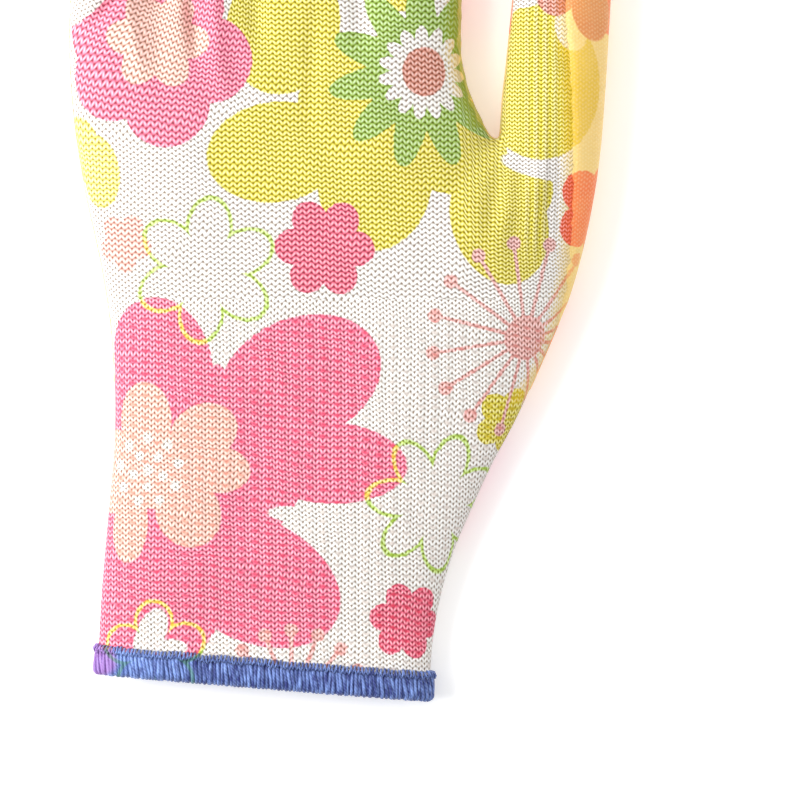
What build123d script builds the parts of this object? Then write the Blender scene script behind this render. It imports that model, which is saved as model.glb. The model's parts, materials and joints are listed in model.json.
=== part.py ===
"""A pair of knitted gardening gloves, lying flat: the left back up, the right palm up.

Millimetres. +Z is up, the fingers point along +Y, both thumbs are on the +X side.
The origin is at the middle of the pair, on the surface it lies on.
"""

from build123d import *
from math import cos, radians, sin
import os

os.makedirs("parts", exist_ok=True)

# ---- cloth, coating and thread ----
wall = 1.2  # knitted liner
coat = 0.48  # dipped film on the palm side
bond = 0.02  # between the liner and the film on it
skin = coat + bond
edge_proud = 0.9  # how far the hem's thread stands out of the cuff
edge_inside = 0.5  # and how far it stands inside it
seam = 0.05  # between pieces that are sewn or knitted end to end
past = 0.5  # a hollow runs this far past an open end

# ---- the pair ----
pitch = 166.0  # from one glove to the same place on the other
glove_x = 1.05  # moves each glove's outline so the pair is centred on X

# ---- fingers ----
finger_thick = 14.0
half = finger_thick / 2
turning_gap = 0.4  # round each joint
below = half + skin + turning_gap  # where a bent finger's palm side needs room
tip_round = 9.0  # the rounded stretch at a fingertip
tip_steps = 5  # sections in it
tip_blunt = 72.0  # degrees round the dome where it ends flat
tip_cap = 14.0  # the stretch of fingertip that the film covers all round
stub_depth = 4.0  # how far a finger's opening reaches into the hand

# Sections across the hand: x of the middle, y, width, thickness, turn in degrees, height off the surface
hem_low = (-15.1, -110.9, 69.4, 10.2, 4.7, edge_proud)
hem_high = (-15.2, -105.0, 68.4, 10.2, 4.7, edge_proud)
cuff_low = (-13.4, -88.8, 70.2, 11.6, 3.6, skin)
cuff_mid = (-9.4, -72.4, 74.8, 12.8, 2.4, skin)
wrist = (-4.9, -56.0, 82.0, 14.0, 1.2, skin)
heel = (-1.5, -39.6, 90.2, 15.2, 0.4, skin)
cuff_top = (-0.4, -31.4, 94.6, 15.8, 0, skin)
thumb_side = (0.3, -10.9, 103.4, 16.8, 0, skin)
crotch = (0.4, 1.4, 106.4, 16.8, 0, skin)
hand_low = (-10.9, -6.0, 82.4, 16.8, 0, skin)
hand_mid = (-14.2, 16.0, 79.8, 16.4, 0, skin)
hand_high = (-14.8, 39.0, 79.8, 14.4, 0, skin)

# Each finger: x and y where its hole in the hand begins, lean in degrees, width, knuckle to middle
# joint, middle joint to tip
fingers = {
    "pinky": (-46.2, 32.0, 0, 16.6, 20.0, 28.0),
    "ring": (-27.1, 36.0, 0, 18.8, 25.0, 38.0),
    "middle": (-6.3, 38.0, 0, 19.6, 27.0, 40.4),
    "index": (14.9, 36.0, 0, 19.4, 25.0, 36.0),
    "thumb": (43.8, 2.4, 3.5, 19.6, 22.0, 28.0),
}

# The film wraps round the thumb's outer side on to the back of the hand, inside this line
wrap_line = [(44.6, 70.0), (44.6, 24.0), (47.4, 9.0), (47.4, -26.0), (38.6, -50.0)]
film_low = -50.0  # where the film ends at the wrist
film_height = 5.5  # how far it comes up the sides of the hand
far = 70.0


def section_plane(section, shift):
    """The plane of a section across the hand, looking towards the fingers."""
    x, y, width, thick, turn, lift = section
    angle = radians(turn)
    return Plane(
        origin=(x + shift, y, lift + thick / 2),
        x_dir=(cos(angle), -sin(angle), 0),
        z_dir=(sin(angle), cos(angle), 0),
    )


def hand_loft(sections, shift, grow, start=0.0, end=0.0):
    """A closed solid through sections of the hand, grown outwards, its two end sections moved along."""
    with BuildPart() as solid:
        for number, section in enumerate(sections):
            plane = section_plane(section, shift)
            if number == 0:
                plane = plane.offset(start)
            if number == len(sections) - 1:
                plane = plane.offset(end)
            with BuildSketch(plane):
                SlotOverall(section[2] + 2 * grow, section[3] + 2 * grow)
        loft()
    return solid.part


def band(sections, shift, outside, inside, start=0.0, end=0.0):
    """A tube through sections of the hand, open at both ends."""
    outer = hand_loft(sections, shift, outside, start, end)
    inner = hand_loft(sections, shift, -inside, start - past, end + past)
    with BuildPart() as tube:
        add(outer)
        add(inner, mode=Mode.SUBTRACT)
    return tube.part


def finger_plane(finger, shift):
    """At the knuckle's axis: local X across the finger, local Z along it, local -Y towards its back."""
    x, y, lean, width, base, tip = finger
    angle = radians(lean)
    return Plane(
        origin=(x + shift + below * sin(angle), y + below * cos(angle), skin + half),
        x_dir=(cos(angle), -sin(angle), 0),
        z_dir=(sin(angle), cos(angle), 0),
    )


def finger_tube(plane, width, start, end, grow, rounded):
    """A finger from start to end along its length, closed by a dome if rounded."""
    stations = [(start, 1.0), (end, 1.0)]
    if rounded:
        stations = [(start, 1.0)]
        for step in range(tip_steps + 1):
            turn = radians(tip_blunt * step / tip_steps)
            short = tip_round * (1 - sin(turn) / sin(radians(tip_blunt)))
            stations.append((end - short, cos(turn)))
    with BuildPart() as solid:
        for place, share in stations:
            with BuildSketch(plane.offset(place)):
                SlotOverall(width * share + 2 * grow, finger_thick * share + 2 * grow)
        loft(ruled=True)
    return solid.part


def socket(plane, place, width, face):
    """Room in the piece before a joint for the piece after it, through its whole travel."""
    joint = plane.offset(place)
    room = half + turning_gap
    wide = width + 2 * skin + 2 * turning_gap
    round_room = joint.location * Rot(0, 90, 0) * Cylinder(room, wide)
    front_room = joint.location * Pos(0, 0, far / 2) * Box(wide, 40, far)
    palm_room = joint.location * Pos(0, -face * 10, far / 2 - below) * Box(wide, 20, far)
    return round_room + front_room + palm_room


def heel_waste(plane, place, width):
    """What a piece loses behind its own joint, so that its end is round about the axis."""
    joint = plane.offset(place)
    wide = width + 8
    block = joint.location * Pos(0, 0, -10) * Box(wide, 40, 20)
    return block - joint.location * Rot(0, 90, 0) * Cylinder(half - 0.1, wide + 2)


def film_region(shift, face, top):
    """Where the film covers the hand: the palm side, and the thumb's outer side right round."""
    height = skin + film_height if face < 0 else skin + top - film_height
    low, high = (-5, height) if face < 0 else (height, 30)
    with BuildPart() as region:
        with BuildSketch(Plane.XY.offset(low)):
            with Locations((shift, film_low + far)):
                Rectangle(140, 2 * far)
        extrude(amount=high - low)
        with BuildSketch(Plane.XY.offset(-5)):
            with BuildLine():
                Polyline([(x + shift, y) for x, y in wrap_line + [(far, film_low), (far, far)]], close=True)
            make_face()
        extrude(amount=35)
    return region.part


def hand_solid(shift, grow, knuckles):
    """The closed hand, without its cuff, with the stubs that the fingers start from."""
    inside = grow < 0
    web = -wall if inside else 0.0
    body = hand_loft([cuff_top, thumb_side, crotch], shift, grow, end=web)
    upper = hand_loft([hand_low, hand_mid, hand_high], shift, grow)
    for name, finger in fingers.items():
        if name == "thumb":
            continue
        x, y, lean, width, base, tip = finger
        beyond = Pos(x + shift, y + far / 2, 10) * Box(width + 2.2, far, 50)
        upper = upper - beyond
    body = body + upper
    for name, finger in fingers.items():
        depth = 13.0 if name == "thumb" else stub_depth
        depth = depth + 4.0 if inside else depth
        stub = finger_tube(knuckles[name], finger[3], -below - depth, 0.0, grow, False)
        body = body + stub
    return body


def save(piece, label):
    piece.part.label = label
    export_step(piece.part, "parts/" + label + ".step")
    print(label, round(piece.part.volume), "mm3", len(piece.part.solids()), "solids")


def make_hand(side, shift, face):
    """The cuff, its sewn edge, the knitted hand and the film on the palm."""
    knuckles = {name: finger_plane(f, shift) for name, f in fingers.items()}
    cuff_sections = [hem_high, cuff_low, cuff_mid, wrist, heel, cuff_top]

    with BuildPart() as cuff_edge:
        add(band([hem_low, hem_high], shift, edge_proud, wall + edge_inside))
    save(cuff_edge, side + "_cuff_edge")

    with BuildPart() as cuff:
        add(band(cuff_sections, shift, 0.0, wall, start=seam, end=-seam))
    save(cuff, side + "_cuff")

    whole = hand_solid(shift, 0.0, knuckles)
    hollow = hand_solid(shift, -wall, knuckles)
    rooms = [socket(knuckles[name], 0.0, f[3], face) for name, f in fingers.items()]
    with BuildPart() as palm:
        add(whole)
        add(hollow, mode=Mode.SUBTRACT)
        for room in rooms:
            add(room, mode=Mode.SUBTRACT)
    save(palm, side + "_palm")

    film_outside = hand_solid(shift, skin, knuckles)
    film_inside = hand_solid(shift, bond, knuckles)
    film_cuff = hand_loft(cuff_sections, shift, skin)
    film_cuff_inside = hand_loft(cuff_sections, shift, bond, end=0.01)
    region = film_region(shift, face, crotch[3])
    with BuildPart() as film:
        add(film_outside)
        add(film_cuff)
        add(film_inside, mode=Mode.SUBTRACT)
        add(film_cuff_inside, mode=Mode.SUBTRACT)
        add(region, mode=Mode.INTERSECT)
        for room in rooms:
            add(room, mode=Mode.SUBTRACT)
    whole_film = film.part.solids().sort_by(SortBy.VOLUME)[-1]
    with BuildPart() as palm_film:
        add(whole_film)
    save(palm_film, side + "_palm_film")


def make_finger(side, name, shift, face):
    """The two lengths of a finger, each a knitted tube with film on its palm side."""
    finger = fingers[name]
    width, base, tip = finger[3:]
    plane = finger_plane(finger, shift)
    wrap = film_region(shift, face, finger_thick)
    room = socket(plane, base, width, face)
    lengths = {
        "base": (-half, base, 0.0, False),
        "tip": (base - half, base + tip, base, True),
    }
    for part_name, (start, end, joint, rounded) in lengths.items():
        waste = heel_waste(plane, joint, width)
        inner_end = end - wall if rounded else end + 1
        outer = finger_tube(plane, width, start, end, 0.0, rounded)
        inner = finger_tube(plane, width, start - 1, inner_end, -wall, rounded)
        with BuildPart() as sleeve:
            add(outer)
            add(inner, mode=Mode.SUBTRACT)
            add(waste, mode=Mode.SUBTRACT)
            if not rounded:
                add(room, mode=Mode.SUBTRACT)
        save(sleeve, side + "_" + name + "_" + part_name)

        film_outer = finger_tube(plane, width, joint, end + skin * rounded, skin, rounded)
        film_inner = finger_tube(plane, width, joint - 1, end + bond * rounded, bond, rounded)
        with BuildPart() as zone:
            half_side = plane.location * Pos(0, -face * 11, end / 2) * Box(60, 22, 2 * far)
            add(half_side)
            if name == "thumb":
                add(wrap)
            if rounded:
                add(plane.location * Pos(0, 0, end - tip_cap + far / 2) * Box(60, 60, far))
        with BuildPart() as film:
            add(film_outer)
            add(film_inner, mode=Mode.SUBTRACT)
            add(zone.part, mode=Mode.INTERSECT)
            if not rounded:
                add(room, mode=Mode.SUBTRACT)
        save(film, side + "_" + name + "_" + part_name + "_film")


for side, shift, face in (("left", -pitch / 2 - glove_x, -1), ("right", pitch / 2 - glove_x, 1)):
    make_hand(side, shift, face)
    for name in fingers:
        make_finger(side, name, shift, face)
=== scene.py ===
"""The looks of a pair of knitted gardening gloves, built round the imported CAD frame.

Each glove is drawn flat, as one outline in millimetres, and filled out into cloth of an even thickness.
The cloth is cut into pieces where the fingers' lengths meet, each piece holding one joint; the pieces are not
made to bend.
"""

import json
import math
import random

import bpy
import numpy as np
from mathutils.geometry import delaunay_2d_cdt
from mathutils.kdtree import KDTree
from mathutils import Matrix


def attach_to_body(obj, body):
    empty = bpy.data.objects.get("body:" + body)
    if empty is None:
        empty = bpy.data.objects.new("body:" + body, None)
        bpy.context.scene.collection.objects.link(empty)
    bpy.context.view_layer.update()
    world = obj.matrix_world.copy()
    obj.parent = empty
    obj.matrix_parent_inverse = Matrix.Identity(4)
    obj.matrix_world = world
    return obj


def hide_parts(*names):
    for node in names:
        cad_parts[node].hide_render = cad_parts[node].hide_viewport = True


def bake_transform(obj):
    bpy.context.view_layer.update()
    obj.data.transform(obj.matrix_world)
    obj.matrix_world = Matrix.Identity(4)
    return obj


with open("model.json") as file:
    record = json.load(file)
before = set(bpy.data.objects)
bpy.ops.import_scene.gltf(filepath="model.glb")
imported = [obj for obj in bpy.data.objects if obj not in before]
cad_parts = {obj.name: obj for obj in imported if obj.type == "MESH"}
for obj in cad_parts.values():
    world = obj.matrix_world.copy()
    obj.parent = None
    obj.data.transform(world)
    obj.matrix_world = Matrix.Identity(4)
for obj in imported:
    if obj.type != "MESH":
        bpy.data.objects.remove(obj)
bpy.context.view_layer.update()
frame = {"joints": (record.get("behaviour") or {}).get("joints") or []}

MM = 0.001
JOINTS = {joint["name"]: joint for joint in frame["joints"]}

# ---- the glove's outline, drawn flat: the thumb on the right, millimetres ----
HEM_LEFT, HEM_RIGHT = (-49.4, -105.0), (18.9, -110.6)
LITTLE_SIDE = [
    (-49.2, -101.0), (-48.6, -91.0), (-47.2, -75.0), (-46.0, -62.0), (-45.8, -50.0), (-46.5, -37.0),
    (-48.5, -24.0), (-51.5, -10.0), (-53.8, 4.0), (-54.9, 18.0), (-54.9, 28.0),
]
INDEX_SIDE = [
    (25.1, 30.0), (25.0, 20.0), (25.8, 14.6), (27.4, 9.4), (29.8, 4.4), (31.2, 2.2), (32.4, 1.7),
    (33.2, 2.3), (33.5, 5.0), (33.8, 10.0),
]
THUMB_SIDE = [
    (54.6, 13.0), (53.6, 0.0), (52.0, -11.0), (49.3, -23.5), (46.0, -34.0), (41.4, -45.0), (36.4, -56.0),
    (31.6, -65.0), (27.5, -74.0), (24.1, -82.0), (21.6, -90.0), (19.9, -98.0), (19.1, -105.0),
]

# Each finger: middle of its root, lean in degrees, width, tip's y, share of the width left at the dome
FINGERS = {
    "pinky": ((-46.0, 32.0), 0.0, 17.4, 87.6, 0.86),
    "ring": ((-26.9, 36.0), 0.0, 19.4, 106.4, 0.88),
    "middle": ((-6.3, 38.0), 0.0, 20.2, 113.6, 0.88),
    "index": ((14.9, 36.0), 0.0, 19.8, 104.2, 0.88),
    "thumb": ((44.35, 12.0), 4.6, 20.3, 60.0, 0.90),
}
CROTCHES = {"pinky": (-36.9, 31.0), "ring": (-16.8, 35.6), "middle": (4.3, 35.6)}
THUMB_WEB_X, THUMB_CUT_Y = 32.3, -7.0  # the thumb's cloth is divided from the hand's along these
CUT_BELOW_ROOT = 9.0  # and a finger's this far below its root
PINKY_CUT_Y = 22.0
CUFF_TOP = -31.4
FILM_LOW = -50.5  # where the film ends at the wrist

# ---- the cloth ----
FLOOR_GAP = 0.5
CLOTH = 0.9  # thickness
WALE, COURSE = 1.56, 1.13  # from one column of stitches, and from one row, to the next
RIB_WALE, RIB_COURSE = 1.415, 1.1
RIB_PITCH = 2.8  # from one raised column of the cuff to the next
BACK_TO_PALM = 400.0  # what is added to U on the palm side
UV_SCALE = 0.01
FILM_THICK = 0.34
FILM_SUNK = 0.16  # how deep the film's edge is sunk in the cloth
FILM_UNDER = 0.2  # how far its inner surface is under the cloth's
BEND_REACH = 7.0  # how far on each side of a joint a bend would reach; bend works it out but uses it for nothing
JOINT_HEIGHT = 7.5


def curve_through(points, spacing):
    """Points along a smooth curve through the given ones."""
    p = np.array(points, float)
    p = np.vstack([2 * p[0] - p[1], p, 2 * p[-1] - p[-2]])
    out = []
    for i in range(1, len(p) - 2):
        a, b, c, d = p[i - 1:i + 3]
        steps = max(2, int(np.linalg.norm(c - b) / spacing))
        for t in np.arange(steps) / steps:
            out.append(0.5 * (2 * b + (c - a) * t + (2 * a - 5 * b + 4 * c - d) * t ** 2
                              + (3 * b - a - 3 * c + d) * t ** 3))
    out.append(p[-2])
    return np.array(out)


def finger_outline(name):
    """A finger's outline, up its left side, round its tip and down its right side."""
    (x, y), lean, width, tip, narrow = FINGERS[name]
    angle = math.radians(lean)
    along = np.array([math.sin(angle), math.cos(angle)])
    across = np.array([math.cos(angle), -math.sin(angle)])
    root = np.array([x, y])
    length = (tip - y) / math.cos(angle)
    dome = 0.52 * width
    side = [(share, 1 - (1 - narrow) * share ** 1.4) for share in (0.12, 0.45, 0.8, 1.0)]
    left = [(-0.5 * width * wide, share * (length - dome)) for share, wide in side]
    turns = [math.radians(a) for a in (160, 135, 110, 90, 70, 45, 20)]
    end = [(0.5 * width * narrow * math.cos(a), length - dome + dome * math.sin(a)) for a in turns]
    right = [(-u, v) for u, v in reversed(left)]
    return [root + across * u + along * v for u, v in left + end + right]


def glove_outline():
    """The whole outline from the hem's left end round to its right end."""
    points = [HEM_LEFT] + LITTLE_SIDE
    for name in ("pinky", "ring", "middle", "index"):
        points += finger_outline(name)
        if name in CROTCHES:
            x, y = CROTCHES[name]
            points += [(x - 0.55, y + 2.2), (x, y), (x + 0.55, y + 2.2)]
    points += INDEX_SIDE + finger_outline("thumb") + THUMB_SIDE + [HEM_RIGHT]
    return curve_through(points, 0.7)


OUTLINE = glove_outline()


def nearest_on_outline(points):
    """Each point's distance from the outline and the direction to the nearest place on it."""
    a, b = OUTLINE[:-1], OUTLINE[1:]
    run = b - a
    square = (run ** 2).sum(1)
    distance, towards = np.empty(len(points)), np.empty((len(points), 2))
    for start in range(0, len(points), 1500):
        p = points[start:start + 1500]
        gap = p[:, None, :] - a[None]
        t = np.clip((gap * run).sum(2) / square, 0, 1)
        away = gap - t[..., None] * run
        size = (away ** 2).sum(2)
        best = size.argmin(1)
        rows = np.arange(len(p))
        distance[start:start + 1500] = np.sqrt(size[rows, best])
        towards[start:start + 1500] = -away[rows, best]
    return distance, towards / np.maximum(distance, 1e-6)[:, None]


def smooth(low, high, value):
    """An even step from 0 to 1 between two values."""
    t = np.clip((value - low) / (high - low), 0, 1)
    return t * t * (3 - 2 * t)


def noise(x, y, scale, seed):
    """Soft uneven waves, the same every time, about -1 to 1."""
    rng = random.Random(seed)
    total = 0
    for number in range(5):
        angle, phase = rng.uniform(0, math.pi), rng.uniform(0, 2 * math.pi)
        size = scale * rng.uniform(0.6, 1.5)
        total = total + np.sin((x * math.cos(angle) + y * math.sin(angle)) * 2 * math.pi / size + phase)
    return total / 3.0


# Folds in the cloth: two ends, half width, depth (a negative depth is a ridge), millimetres
BACK_FOLDS = [
    ((-31.0, 37.0), (-28.6, 17.0), 1.4, 2.6), ((-37.5, 36.0), (-36.0, 12.0), 2.0, 0.8),
    ((-43.5, 33.0), (-40.0, 14.0), 1.3, -0.9), ((-25.5, 34.0), (-24.5, 14.0), 1.3, -0.8),
    ((-17.0, 37.0), (-16.0, 20.0), 2.0, 1.1), ((4.3, 37.0), (4.8, 20.0), 2.0, 1.1),
    ((-54.0, 22.0), (-42.5, 32.0), 1.5, 2.4), ((-4.6, 31.0), (-5.6, 2.0), 1.6, 0.5),
    ((-24.0, 32.0), (-23.0, 8.0), 1.7, -0.5), ((30.5, 0.5), (22.0, -12.0), 2.4, 0.7),
    ((33.5, -1.0), (30.5, -20.0), 1.7, 0.8), ((37.5, -1.0), (35.5, -27.0), 1.4, 0.6),
    ((41.5, 0.0), (40.5, -24.0), 1.3, -0.5), ((45.0, 2.0), (44.5, -24.0), 1.5, 0.4),
    ((36.0, 20.0), (39.5, 4.0), 1.6, 0.5), ((44.5, 34.0), (44.0, 6.0), 2.2, -0.4),
    ((-45.0, -28.0), (-30.0, -33.0), 2.5, 0.4), ((20.0, -32.0), (42.0, -28.0), 2.6, 0.4),
]
PALM_FOLDS = [
    ((-40.0, 22.0), (20.0, 16.0), 1.7, 0.8), ((-30.0, 6.0), (26.0, 14.0), 1.8, 0.8),
    ((30.0, -4.0), (12.0, -44.0), 2.2, 1.0), ((-50.0, -4.0), (-20.0, 4.0), 2.0, 0.5),
    ((-44.0, -36.0), (36.0, -40.0), 2.4, 0.6), ((-36.8, 32.0), (-35.0, 14.0), 2.0, 1.0),
    ((-16.8, 36.0), (-15.5, 18.0), 2.0, 1.0), ((4.3, 36.0), (5.0, 18.0), 2.0, 1.0),
]


def mid_height(points, half):
    """The height of the glove's middle: raised at the hem, where the thread goes under the cloth."""
    return FLOOR_GAP + half + 0.8 * smooth(-96, -106, points[:, 1])


def folds(points, table):
    """How far the folds lower the cloth at each point."""
    total = np.zeros(len(points))
    for start, end, wide, deep in table:
        a, run = np.array(start), np.array(end) - np.array(start)
        t = np.clip(((points - a) @ run) / (run @ run), 0, 1)
        away = np.linalg.norm(points - a - t[:, None] * run, axis=1)
        ends = np.sin(np.pi * np.clip(0.08 + 0.84 * t, 0, 1))
        total += deep * ends * np.exp(-(away / wide) ** 2)
    return total


def fullness(points):
    """Half the glove's thickness, and how far in from the outline it takes to reach it."""
    x, y = points.T
    half = np.interp(y, [-111, -100, -85, -56, -35, -10, 15, 30, 42, 115],
                     [4.3, 4.6, 5.6, 6.4, 7.3, 8.1, 8.0, 7.3, 6.8, 6.5])
    reach = np.interp(y, [-111, -85, -56, -10, 15, 30, 42, 115],
                      [16.0, 22.0, 26.0, 27.0, 22.0, 12.0, 9.3, 8.9])
    thumb = smooth(-20, 3, y) * smooth(25, 35, x)
    return half + (6.9 - half) * thumb, reach + (9.4 - reach) * thumb


# ---- the flat pattern, as triangles ----
def in_outline(points):
    """Whether each point is inside the outline closed by the hem."""
    loop = np.vstack([OUTLINE, OUTLINE[:1]])
    inside = np.zeros(len(points), bool)
    x, y = points.T
    for (ax, ay), (bx, by) in zip(loop[:-1], loop[1:]):
        if ay == by:
            continue
        crosses = (ay > y) != (by > y)
        inside ^= crosses & (x < (bx - ax) * (y - ay) / (by - ay) + ax)
    return inside


def cut_lines():
    """Where the cloth is divided: two ends each."""
    lines = [
        ((-60.0, CUFF_TOP), (60.0, CUFF_TOP)),
        ((THUMB_WEB_X, 1.55), (THUMB_WEB_X, THUMB_CUT_Y)),
        ((THUMB_WEB_X, THUMB_CUT_Y), (56.0, THUMB_CUT_Y)),
    ]
    edges = [-58.0, CROTCHES["pinky"][0], CROTCHES["ring"][0], CROTCHES["middle"][0], 28.5]
    for name, low, high in zip(("pinky", "ring", "middle", "index"), edges, edges[1:]):
        y = cut_height(name)
        lines.append(((low, y), (high, y)))
        lines.append(((low, split_height(name)), (high, split_height(name))))
    for name in CROTCHES:
        x, y = CROTCHES[name]
        lines.append(((x, y - 0.05), (x, y - CUT_BELOW_ROOT - 2)))
    lines.append(((31.0, split_height("thumb")), (60.0, split_height("thumb"))))
    return lines


def knuckle(name):
    """A finger's two joints in the flat drawing, millimetres."""
    places = []
    for joint in (f"left_{name}_knuckle", f"left_{name}_middle_joint", f"left_{name}_end_joint"):
        if joint in JOINTS:
            place = np.array(JOINTS[joint]["pos_m"]) / MM
            places.append(np.array([place[0] - SHIFT["left"], place[1]]))
    return places


def cut_height(name):
    """Where a finger's cloth is divided from the hand's."""
    return PINKY_CUT_Y if name == "pinky" else CROTCHES["ring"][1] - CUT_BELOW_ROOT


def split_height(name):
    """Where a finger's cloth is divided, midway between its joints."""
    first, second = knuckle(name)
    return 0.5 * (first[1] + second[1])


# How far each glove's drawing is moved along X: its middle finger lies over that finger's joint
SHIFT = {
    side: JOINTS[f"{side}_middle_knuckle"]["pos_m"][0] / MM - FINGERS["middle"][0][0]
    for side in ("left", "right")
}


def flat_pattern():
    """The outline filled with triangles, finer near the edge and in the cuff: vertices and triangles."""
    inward = np.gradient(OUTLINE, axis=0)
    inward = np.stack([inward[:, 1], -inward[:, 0]], 1)
    inward /= np.linalg.norm(inward, axis=1)[:, None]
    rings = []
    for turn in (9, 18, 27, 36, 46):
        depth = 9.0 * (1 - math.cos(math.radians(turn)))
        ring = OUTLINE[1:-1] + inward[1:-1] * depth
        distance, _ = nearest_on_outline(ring)
        keep = (np.abs(distance - depth) < 0.06 * depth + 0.01) & in_outline(ring)
        rings.append(ring[keep])
    placed = np.vstack(rings)
    lines = []
    for start, end in cut_lines():
        start, end = np.array(start), np.array(end)
        steps = int(np.linalg.norm(end - start) / 0.7) + 1
        line = start + (end - start) * (np.arange(steps + 1) / steps)[:, None]
        lines.append(line[in_outline(line)])
    near = np.vstack([placed] + lines)
    tree = KDTree(len(near))
    for number, point in enumerate(near):
        tree.insert((point[0], point[1], 0), number)
    tree.balance()
    grids = []
    for low, high, gap in ((-112.0, CUFF_TOP, 0.62), (CUFF_TOP, 114.5, 0.95)):
        rows = np.arange(low, high, gap * 0.866)
        columns = np.arange(-58, 58, gap)
        x, y = np.meshgrid(columns, rows)
        x = x + 0.5 * gap * (np.arange(len(rows)) % 2)[:, None]
        grid = np.stack([x.ravel(), y.ravel()], 1)
        grid = grid[in_outline(grid)]
        distance, _ = nearest_on_outline(grid)
        grid = grid[distance > 1.0]
        apart = np.array([tree.find((px, py, 0))[2] for px, py in grid])
        grids.append(grid[apart > 0.55 * gap])
    points = list(map(tuple, OUTLINE))
    count = len(points)
    edges = [(i, i + 1) for i in range(count - 1)] + [(count - 1, 0)]
    for line in lines:
        first = len(points)
        points += list(map(tuple, line))
        edges += [(i, i + 1) for i in range(first, len(points) - 1)]
    points += list(map(tuple, placed)) + [tuple(p) for grid in grids for p in grid]
    verts, _, faces, *_ = delaunay_2d_cdt([tuple(map(float, p)) for p in points], edges,
                                          [list(range(count))], 1, 1e-4)
    verts = np.array([(v[0], v[1]) for v in verts])
    faces = np.array([tuple(f) for f in faces if len(f) == 3])
    return verts, faces[in_outline(verts[faces].mean(1))]


FLAT, TRIANGLES = flat_pattern()
DISTANCE, OUTWARD = nearest_on_outline(FLAT)


def piece_of(points):
    """The name of the piece of cloth that each point of the pattern belongs to."""
    x, y = points.T
    names = np.full(len(points), "palm", dtype=object)
    names[y < CUFF_TOP] = "cuff"
    edges = [-90.0, CROTCHES["pinky"][0], CROTCHES["ring"][0], CROTCHES["middle"][0], 30.0]
    for name, low, high in zip(("pinky", "ring", "middle", "index"), edges, edges[1:]):
        there = (x > low) & (x < high)
        names[there & (y > cut_height(name))] = name + "_base"
        names[there & (y > split_height(name))] = name + "_tip"
    thumb = (x > THUMB_WEB_X) & (y > THUMB_CUT_Y)
    names[thumb] = "thumb_base"
    names[thumb & (y > split_height("thumb"))] = "thumb_tip"
    return names


PIECE = piece_of(FLAT[TRIANGLES].mean(1))


def filled_out():
    """The cloth's outer surface, back and palm: its vertices, its faces and each corner's UV."""
    half, reach = fullness(FLAT)
    part = np.clip(DISTANCE / reach, 0, 1)
    rise = half * np.sqrt(1 - (1 - part) ** 2)
    x, y = FLAT.T
    middle = mid_height(FLAT, half)
    inner = smooth(0.05, 0.7, part)
    waves = 0.22 * noise(x, y, 26, 3) + 0.10 * noise(x, y, 9, 4)
    rib = 0.10 * np.cos(2 * math.pi * x / RIB_PITCH) * smooth(CUFF_TOP + 2, CUFF_TOP - 8, y)
    back = middle + rise + inner * (waves + rib - folds(FLAT, BACK_FOLDS))
    creases = np.clip(folds(FLAT, PALM_FOLDS), 0, 9)
    palm = middle - 0.96 * rise + inner * (0.35 * np.abs(waves) + 0.35 * creases)
    edge = DISTANCE < 1e-3
    # the extra cloth that the turn under takes up, measured outwards in the flat
    steps = np.linspace(0, 1, 200)
    slope = half.mean() / reach.mean() * (1 - steps) / np.sqrt(np.maximum(1 - (1 - steps) ** 2, 1e-4))
    extra = np.cumsum((np.sqrt(1 + slope ** 2) - 1)[::-1])[::-1] / 200
    spread = np.interp(part, steps, extra) * reach
    flat = FLAT + OUTWARD * spread[:, None]
    number = np.arange(len(FLAT))
    below = np.where(edge, number, number + len(FLAT))
    surface = np.vstack([np.column_stack([FLAT, back]), np.column_stack([FLAT, palm])])
    surface[:len(FLAT)][edge, 2] = middle[edge]
    faces = np.vstack([TRIANGLES, below[TRIANGLES][:, ::-1]])
    uv = np.vstack([flat[TRIANGLES], flat[TRIANGLES][:, ::-1]])
    uv[len(TRIANGLES):, :, 0] += BACK_TO_PALM
    return surface, faces, uv


def vertex_normals(surface, faces):
    """The smooth direction outwards at each vertex."""
    corners = surface[faces]
    normal = np.cross(corners[:, 1] - corners[:, 0], corners[:, 2] - corners[:, 0])
    total = np.zeros_like(surface)
    for corner in range(3):
        np.add.at(total, faces[:, corner], normal)
    return total / np.maximum(np.linalg.norm(total, axis=1), 1e-9)[:, None]


SURFACE, FACES, UV = filled_out()
if np.cross(*(SURFACE[FACES[0]][1:] - SURFACE[FACES[0]][:1]))[2] < 0:
    FACES, UV = FACES[:, ::-1], UV[:, ::-1]
NORMALS = vertex_normals(SURFACE, FACES)
FACE_PIECE = np.concatenate([PIECE, PIECE])


# ---- the film ----
# Its edge on the back of the hand, beside the thumb
WRAP = [
    (46.6, 74.0), (46.4, 30.0), (47.2, 18.0), (47.8, 6.0), (47.9, -14.0), (46.6, -29.0), (43.6, -41.0),
    (38.0, -51.5),
]
OUTSIDE = -50.0  # far from the film


def into_film(flat, side):
    """How many millimetres inside the film's edge each point is; side is 0 on the back and 1 on the palm."""
    x, y = flat.T
    distance, _ = nearest_on_outline(flat)
    line = curve_through(WRAP, 3.0)
    at = np.interp(y, line[::-1, 1], line[::-1, 0])
    wrap = np.where((x > THUMB_WEB_X) | (y < 2), x - at, OUTSIDE)
    wrap = np.minimum(wrap, y - FILM_LOW)
    tips = np.full(len(flat), OUTSIDE)
    for name, ((fx, fy), lean, width, tip, _) in FINGERS.items():
        reach = 9.0 if name == "thumb" else 11.0
        near = np.abs(x - fx - (y - fy) * math.tan(math.radians(lean))) < 0.62 * width
        tips = np.where(near, np.maximum(tips, y - tip + reach), tips)
    edge_strip = np.where((y > 3) & (x > 20) & (x < THUMB_WEB_X), 0.5 - distance, OUTSIDE)
    back = np.maximum(np.maximum(wrap, tips), edge_strip)
    palm = y - FILM_LOW + 1.2 * noise(x, y, 30, 8)
    return np.where(side == 1, palm, back) + 0.25 * noise(x, y, 3.3, 6)


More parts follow.
